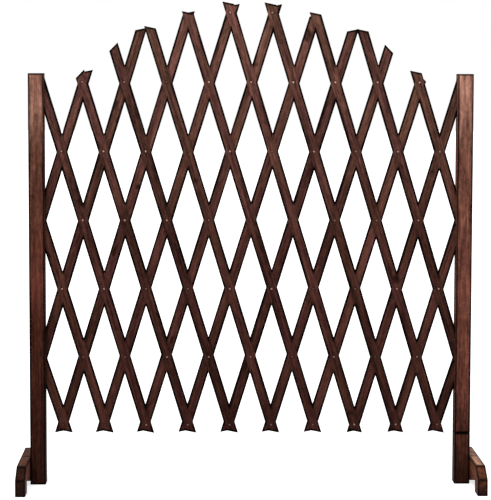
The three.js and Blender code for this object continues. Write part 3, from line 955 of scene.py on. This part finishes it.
def stained_wood(name, stops, look):
    """Stained softwood. Its pattern lives in board space, so it runs along each piece.

    The colour is a ramp over height times a spread of light and dark: fine fibres, streaks, growth
    rings and slow patches. The spread is added up as the eye sees it, and a power of it is the light.
    Stain patches, knots, ends and the wood round rivets darken it. Painted shade darkens it along the
    edges and, through the ramp, towards the ground on slats and in part on posts. Painted light lifts
    faces that look aside, and faces that look up are paler, partly painted light, partly sun-bleached.
    look holds the strengths and the sizes of these.
    """
    w = Wiring(bpy.data.materials.new(name))
    grain, end = w.attribute("grain", "Vector"), w.attribute("end", "Fac")
    seed, tone, pith = w.parts(w.attribute("own", "Vector"))
    half_across, half_depth, drift = w.parts(w.attribute("halves", "Vector"))
    along, across, depth = w.parts(grain)
    height = w.parts(w.place("Object"))[2]
    facing_aside, _, facing_up = w.parts(w.place("Normal"))
    there = w.vector("ADD", grain, w.scaled(SEED_SHIFT, seed))
    pattern = {}
    for key, (lengthwise, crosswise, *kind) in PATTERNS.items():
        start = w.vector("ADD", there, STAIN_SHIFT) if key == "stain" else there
        pattern[key] = w.noise(start, (lengthwise, crosswise, crosswise), *kind)
    fibres, streaks = pattern["fibres"], pattern["streaks"]

    # Growth rings: cylinders about a pith outside the board that drifts away from it, so that they meet
    # a flat face in long arches
    bend = (pattern["bend"] - 0.5) * look["ring_bend"]
    radius = w.reach(across + pith + bend, depth + look["pith_depth"] + along * look["ring_tilt"])
    turn = w.math("FRACT", (radius + bend * 0.35) / look["ring_gap"])
    rings = w.between(turn, *RING_DARKENS) * w.between(turn, *RING_ENDS, 1.0, 0.0)

    spread = (fibres - 0.5) * look["fibres"]
    for key in ("streaks", "lanes", "mottle", "patches"):
        spread = spread + (pattern[key] - 0.5) * look[key]
    spread = spread - (rings - 0.4) * look["rings"] + tone * look["piece"]
    light = w.most(spread + 1.0, 0.25) ** EYE_POWER

    # The ramp makes the wood darker towards the ground: on the slats this is painted shade, the light falling off
    # downwards, and on the posts it is partly painted shade, partly weathering
    tint = w.ramp(height / look["top"], stops)
    olive = w.math("ADD", w.between(pattern["tints"], *OLIVE_FROM), tone * look["piece_olive"], clamp=True)
    tint = w.mix(olive * look["olive"], tint, look["olive_tint"], "MULTIPLY")

    # What darkens it
    cells = {"Vector": w.vector("MULTIPLY", there, KNOT_SPREAD), "Scale": 1.0, "Randomness": 1.0}
    knot = w.between(w.signal("ShaderNodeTexVoronoi", cells, "Distance"), *KNOT_SIZE, 1.0, 0.0) * look["knots"]
    stain = pattern["stain"] + (streaks - 0.5) * STAIN_RAGGED
    stain = w.between(stain, look["stain_from"], look["stain_from"] + STAIN_STEP) * look["stain"]

    # The nearest edge is the second nearest of the faces' planes, since the nearest is the face itself
    planes = [half_depth - abs(depth), half_across - abs(across)]
    planes += [reach - (abs(along) * out + height * up) for out, up, reach in look["planes"]]
    nearest, rim = w.least(*planes[:2]), w.most(*planes[:2])
    for plane in planes[2:]:
        rim = w.least(rim, w.most(nearest, plane))
        nearest = w.least(nearest, plane)
    # Painted shade: the wood darkens towards every edge, as a rounded arris turning away from the light does
    wander = (streaks - 0.5) * (look["rim"] * 0.8)
    edge = w.between(rim + wander, look["rim"] * 0.5, look["rim"], 1.0, 0.0) * look["edges"]

    losses = [knot, stain]
    if look["lean"]:
        # At a crossing the two slats read as one, and the wood is darker round the rivet's head
        step = along / PITCH
        off, line = (step - w.math("ROUND", step)) * PITCH, across + drift
        slant = 2 * (math.pi / 2 - REST_ANGLE)
        other = abs(off * math.sin(slant) + line * (look["lean"] * math.cos(slant)))
        edge = edge * w.between(other, *OTHER_SLAT, look["crossing_edges"], 1.0)
        losses.append(w.between(w.reach(off, line), *RIVET_DARKENING, 1.0, 0.0) * look["rivet_ring"])
    cut_end = w.most(end, nearest) + wander * 0.5
    cut_end = w.between(cut_end, look["end_depth"] * 0.4, look["end_depth"], 1.0, 0.0) * look["ends"]
    for loss in (*losses, w.most(edge, cut_end)):
        light = light * (1.0 - loss)
    # Painted light: faces that look aside are lifted by the sides factor
    if look["sides"] != 1.0:
        light = light * w.between(abs(facing_aside), *SIDE_LIGHT_FROM, 1.0, look["sides"])
    # Faces that look up turn paler: partly painted light, partly sun-bleached wood
    tint = w.mix(w.between(facing_up, *TOP_LIGHT_AND_BLEACH_FROM) * look["bleach"], tint, look["pale_tint"])

    relief = fibres * 0.5 + streaks * 0.35 - rings * 0.25
    roughness = w.between(streaks, 0.25, 0.75, look["roughness"] - 0.08, look["roughness"] + 0.1)
    return w.finish(w.scaled(tint, light), roughness, relief, look["relief"], look["gloss"])


def look_of(**changes):
    """The strengths and sizes of a plain slat's pattern, with some of them changed."""
    # edges and rim set the painted edge shade, sides the painted side light, and the top tint is partly painted
    # light
    look = {
        "fibres": 0.35, "streaks": 1.05, "lanes": 0.7, "mottle": 0.75, "patches": 0.55, "piece": 0.15, "rings": 0.1,
        "ring_gap": 0.0048, "ring_bend": 0.008, "ring_tilt": 0.03, "pith_depth": 0.02,
        "olive": 0.45, "piece_olive": 0.15, "olive_tint": shade(0xCEE7C4), "knots": 0.5,
        "stain": 0.78, "stain_from": 0.66, "rim": 0.0062, "edges": 0.97, "planes": (), "lean": 0,
        "crossing_edges": 0.05, "rivet_ring": 0.6, "end_depth": 0.0078, "ends": 0.94, "bleach": 0.0,
        "pale_tint": (0.5, 0.4, 0.3), "roughness": 0.62, "relief": 0.0003, "top": 1.2, "gloss": 0.02, "sides": 1.0,
    }
    return {**look, **changes}


class ColourSettings(PropertyGroup):
    # The slats' stain is painted darker towards the ground: painted shade, as the light falls off downwards
    slat_low: colour("Slats, low", "Stain on the slats near the ground", 0x42231F)
    slat_middle: colour("Slats, middle", "Stain on the slats halfway up", 0x52302A)
    slat_high: colour("Slats, high", "Stain on the slats at the arch", 0x734B43)
    # The posts darken towards the ground, partly weathering, partly painted shade; the left post is darker than the
    # right, which is painted shade, the left being less lit
    left_low: colour("Left post, low", "Stain on the left post near the ground", 0x341A14)
    left_lower: colour("Left post, lower", "Stain on the left post below the middle", 0x46241B)
    left_middle: colour("Left post, middle", "Stain on the left post at the middle", 0x613429)
    left_high: colour("Left post, high", "Stain on the left post below its top", 0x6A4036)
    left_top: colour("Left post, top", "Weathered wood at the left post's top", 0xA36F62)
    right_low: colour("Right post, low", "Stain on the right post near the ground", 0x361C15)
    right_lower: colour("Right post, lower", "Stain on the right post above its joint", 0x5E352B)
    right_middle: colour("Right post, middle", "Stain on the right post at the middle", 0x77443A)
    right_high: colour("Right post, high", "Stain on the right post below its top", 0x825146)
    right_top: colour("Right post, top", "Weathered wood at the right post's top", 0xAE796D)
    # The feet are darker towards the ground. The left foot is darker than the right: painted shade, the left being
    # less lit. The top colours are partly sun-bleached wood, partly painted light on faces that look up
    left_foot_low: colour("Left foot, low", "Stain on the left foot near the ground", 0x23130F)
    left_foot: colour("Left foot", "Stain on the left foot's slopes", 0x311812)
    left_foot_top: colour("Left foot, top", "Worn wood on top of the left foot", 0x582F1E)
    right_foot_low: colour("Right foot, low", "Stain on the right foot near the ground", 0x321714)
    right_foot: colour("Right foot", "Stain on the right foot's slopes", 0x623828)
    right_foot_top: colour("Right foot, top", "Weathered wood on top of the right foot", 0xA57963)
    rivet: colour("Rivets", "Plating on the rivets' heads", 0xC79B8C)
    rivet_film: colour("Rivet film", "Stain left over the rivets' heads", 0x5A382E)
    steel: colour("Screws", "Plating on the screws and pins", 0xB9B5AC)
    steel_cloud: colour("Screws, clouded", "Clouds in the plating on the screws and pins", 0x7F776C)
    dowel: colour("Dowels", "Bare wood of the dowels", 0xC29A6C)
    floor: colour("Floor", "The pale floor", 0xFFFFFF)


def tints(colours, *keys):
    """Some of the colour settings, as the tuples that sockets take."""
    return [tuple(float(part) for part in getattr(colours, key)) for key in keys]


# Heights at which the colour ramp's stops lie, as shares of a piece's "top"; its fall towards the ground is painted
# shade on the slats and partly on the posts
SLAT_HEIGHTS = (0.08, 0.5, 0.95)
POST_HEIGHTS = {"left": (0.03, 0.36, 0.5, 0.81, 0.92), "right": (0.03, 0.19, 0.4, 0.8, 0.98)}
FOOT_HEIGHTS = (0.1, 0.62, 1.0)


def slat_wood(layer, colours):
    shades = tints(colours, "slat_low", "slat_middle", "slat_high")
    return stained_wood(f"{layer}_slat_wood", list(zip(SLAT_HEIGHTS, shades)), look_of(lean=lean_of(layer)))


def post_wood(side, colours):
    # A left and a right copy of one stain, the left darker: painted shade, the left being less lit
    shades = tints(colours, *(f"{side}_{level}" for level in ("low", "lower", "middle", "high", "top")))
    look = look_of(
        fibres=0.3, streaks=0.7, lanes=0.8, mottle=0.8, patches=0.7, piece=0.08, rings=0.16, ring_gap=0.0062,
        ring_bend=0.014, ring_tilt=0.045, pith_depth=0.012, olive=0.35, rim=0.0056, edges=0.85, knots=0.35,
        # The post tops' paler tint is partly painted light on the face that looks up, partly weathering
        stain=0.6 if side == "left" else 0.25, ends=0.97, end_depth=0.0058, top=1.0, bleach=0.5,
        pale_tint=shades[-1], relief=0.0004,
    )
    return stained_wood(f"{side}_post_wood", list(zip(POST_HEIGHTS[side], shades)), look)


def foot_planes(name):
    """A foot's outer faces but its sides, each as how fast it falls outwards, upwards, and its reach."""
    corners = foot_corners(name)
    end, shoulder, crest = corners[3:6]
    fall = np.array([crest[1] - shoulder[1], shoulder[0] - crest[0]])
    fall = fall / np.hypot(*fall)
    return ((0.0, 1.0, float(crest[1])), (1.0, 0.0, float(end[0])), (0.0, -1.0, 0.0),
            (float(fall[0]), float(fall[1]), float(fall @ crest)))


def foot_wood(side, colours):
    # A left and a right copy of one stain, the left darker: painted shade, the left being less lit
    low, slope, top = tints(colours, f"{side}_foot_low", f"{side}_foot", f"{side}_foot_top")
    look = look_of(
        fibres=0.3, streaks=0.8, lanes=0.7, mottle=0.7, patches=0.6, piece=0.1, rings=0.15, ring_gap=0.006,
        ring_bend=0.012, olive=0.25, edges=0.78, rim=0.0054, planes=foot_planes(f"{side}_foot_front"), stain=0.4,
        # Faces that look up turn to the top colour: partly painted light, partly sun-bleached wood
        ends=0.7, end_depth=0.004, top=0.07, bleach=1.0, pale_tint=top, relief=0.0004, gloss=0.03,
        # sides paints light onto faces that look aside, most on the left foot, whose inner side the key light misses
        sides=4.0 if side == "left" else 1.5,
    )
    return stained_wood(f"{side}_foot_wood", list(zip(FOOT_HEIGHTS, (low, slope, slope))), look)


def dowel_wood(colours):
    bare, = tints(colours, "dowel")
    look = look_of(edges=0.0, stain=0.0, olive=0.0, knots=0.0, ends=0.3)
    return stained_wood("dowel_wood", [(0.0, bare), (1.0, bare)], look)


def rivet_steel(colours):
    """Plated steel with a film of stain: each rivet shows its own share of bright metal. Painted shade darkens the
    rivets lower down, as the light falls off downwards.
    """
    w = Wiring(bpy.data.materials.new("rivet_steel"))
    film, plating = tints(colours, "rivet_film", "rivet")
    here = w.place("Object")
    specks = w.noise(here, (900.0,) * 3, 3.0, 0.6)
    shown = w.between((specks - 0.5) * 0.5 + w.attribute("bare", "Fac"), 0.05, 1.0)
    # Painted shade: the tint is scaled darker towards the ground, as the slats' ramp is
    tint = w.scaled(w.mix(shown, film, plating), w.between(w.parts(here)[2], 0.3, 1.2, 0.45, 1.15))
    w.shader.inputs["Metallic"].default_value = 0.35
    return w.finish(tint, w.between(shown, 0.0, 1.0, 0.7, 0.5), specks, 0.00005, 0.2)


def fastening_steel(colours):
    """Zinc plating: cloudy grey with fine turning marks."""
    w = Wiring(bpy.data.materials.new("fastening_steel"))
    here = w.place("Object")
    clouds = w.noise(here, (260.0,) * 3, 3.0, 0.6)
    marks = w.noise(here, (4000.0,) * 3, 2.0, 0.5)
    tint = w.mix(w.between(clouds, 0.35, 0.7), *tints(colours, "steel", "steel_cloud"))
    w.shader.inputs["Metallic"].default_value = 0.9
    return w.finish(tint, w.between(clouds, 0.3, 0.7, 0.32, 0.5), marks, 0.00002)


# Stage

FLOOR_DROP = 0.0004  # the floor lies this far below the feet, so that the two never share a plane
FLOOR_GREY = (0.35, 0.34, 0.33)
KEY_PLACE = (-1.0, -2.5, 3.0)
KEY_TURN, KEY_TILT = -17, 48  # degrees: the light tilts from straight down and then turns about Z


class StageSettings(PropertyGroup):
    floor_size: length("Floor size", "Length of the floor's sides", 60.0)
    floor_glow: share("Floor glow", "How far the camera sees the floor lifted towards white", 0.72)
    ambient: share("Ambient", "Strength of the light from all round", 0.5, 4.0)
    key: share("Key", "Strength of the soft key light", 1.75, 20.0)
    key_angle: angle("Key angle", "Softness of the key light, as the angle it fills", 25)
    camera_x: place("Camera x", "The camera's place to the right", -0.1207)
    camera_y: place("Camera y", "The camera's place from front to back", -5.0588)
    camera_z: place("Camera z", "The camera's height", 1.0105)
    pitch: angle("Pitch", "How far the camera looks down", 4.926)
    yaw: angle("Yaw", "How far the camera looks to the right", 1.223)
    roll: angle("Roll", "How far the camera leans", 0.115)
    focal: FloatProperty(name="Focal share", description="Focal length as a share of the picture's width",
                         default=2083.4 / 491, min=0.1)


def floor_material(tint, glow):
    """A pale floor that the camera sees near white, less where the object shades it; other rays see grey."""
    w = Wiring(bpy.data.materials.new("floor"))
    watched = w.watched()
    w.feed(w.shader.inputs["Base Color"], w.mix(watched, FLOOR_GREY, tint))
    w.shader.inputs["Roughness"].default_value = 1.0
    w.shader.inputs["Specular IOR Level"].default_value = 0.0
    w.shader.inputs["Emission Color"].default_value = (*tint, 1.0)
    w.feed(w.shader.inputs["Emission Strength"], watched * glow)
    return w.owner


def white_world(ambient):
    """White where a camera, glossy or transmission ray looks, and a plain grey light for the rest."""
    w = Wiring(bpy.data.worlds.new("studio"))
    w.shader.inputs["Color"].default_value = (1.0, 1.0, 1.0, 1.0)
    w.feed(w.shader.inputs["Strength"], w.between(w.watched(), 0.0, 1.0, ambient, 1.0))
    return w.owner


def camera_matrix(settings):
    """The camera's place: turned from facing +Y by its yaw, then pitched down, then rolled."""
    yaw = Matrix.Rotation(-settings.yaw, 4, "Z")
    pitch = Matrix.Rotation(math.pi / 2 - settings.pitch, 4, "X")
    roll = Matrix.Rotation(settings.roll, 4, "Z")
    return Matrix.Translation((settings.camera_x, settings.camera_y, settings.camera_z)) @ yaw @ pitch @ roll


class TRELLIS_OT_stage(Operator):
    """Build the floor, the lights, the white surroundings and the camera"""

    bl_idname = "trellis.stage"
    bl_label = "Stage"

    def execute(self, context):
        scene = context.scene
        settings = scene.trellis_stage
        half = settings.floor_size / 2
        corners = [(-half, -half, -FLOOR_DROP), (half, -half, -FLOOR_DROP),
                   (half, half, -FLOOR_DROP), (-half, half, -FLOOR_DROP)]
        floor = new_object("floor", (np.array(corners), [[0, 1, 2, 3]]))
        floor.data.materials.append(floor_material(*tints(scene.trellis_colours, "floor"), settings.floor_glow))

        scene.world = white_world(settings.ambient)
        key = bpy.data.objects.new("key", bpy.data.lights.new("key", "SUN"))
        key.data.energy = settings.key
        key.data.angle = settings.key_angle
        turn = Matrix.Rotation(math.radians(KEY_TURN), 4, "Z") @ Matrix.Rotation(math.radians(KEY_TILT), 4, "X")
        key.matrix_world = Matrix.Translation(KEY_PLACE) @ turn
        scene.collection.objects.link(key)

        camera = bpy.data.objects.new("camera", bpy.data.cameras.new("camera"))
        camera.data.sensor_fit = "HORIZONTAL"
        camera.data.lens = camera.data.sensor_width * settings.focal
        camera.data.clip_end = 200
        camera.matrix_world = camera_matrix(settings)
        scene.collection.objects.link(camera)
        scene.camera = camera
        scene.view_settings.view_transform = "Standard"
        return {"FINISHED"}


class TRELLIS_PT_panel(Panel):
    """Sizes and colours of the trellis, and a button for each step"""

    bl_idname = "TRELLIS_PT_panel"
    bl_label = "Trellis"
    bl_space_type = "VIEW_3D"
    bl_region_type = "UI"
    bl_category = "Trellis"

    def draw(self, context):
        layout = self.layout
        for group in GROUPS:
            box = layout.box()
            settings = getattr(context.scene, group)
            for key in settings.__class__.__annotations__:
                box.prop(settings, key)
        for operator in OPERATORS:
            layout.operator(operator.bl_idname)


GROUPS = {
    "trellis_slats": SlatSettings,
    "trellis_rivets": RivetSettings,
    "trellis_posts": PostSettings,
    "trellis_feet": FootSettings,
    "trellis_fastenings": FastenerSettings,
    "trellis_colours": ColourSettings,
    "trellis_stage": StageSettings,
}
OPERATORS = (
    TRELLIS_OT_slats,
    TRELLIS_OT_rivets,
    TRELLIS_OT_posts,
    TRELLIS_OT_feet,
    TRELLIS_OT_fastenings,
    TRELLIS_OT_dowels,
    TRELLIS_OT_stage,
)


def register():
    for kind in (*GROUPS.values(), *OPERATORS, TRELLIS_PT_panel):
        bpy.utils.register_class(kind)
    for name, kind in GROUPS.items():
        setattr(bpy.types.Scene, name, PointerProperty(type=kind))


def unregister():
    for name in GROUPS:
        delattr(bpy.types.Scene, name)
    for kind in reversed((*GROUPS.values(), *OPERATORS, TRELLIS_PT_panel)):
        bpy.utils.unregister_class(kind)


def main():
    register()
    for operator in OPERATORS:
        group, step = operator.bl_idname.split(".")
        getattr(getattr(bpy.ops, group), step)()


if __name__ == "__main__":
    main()
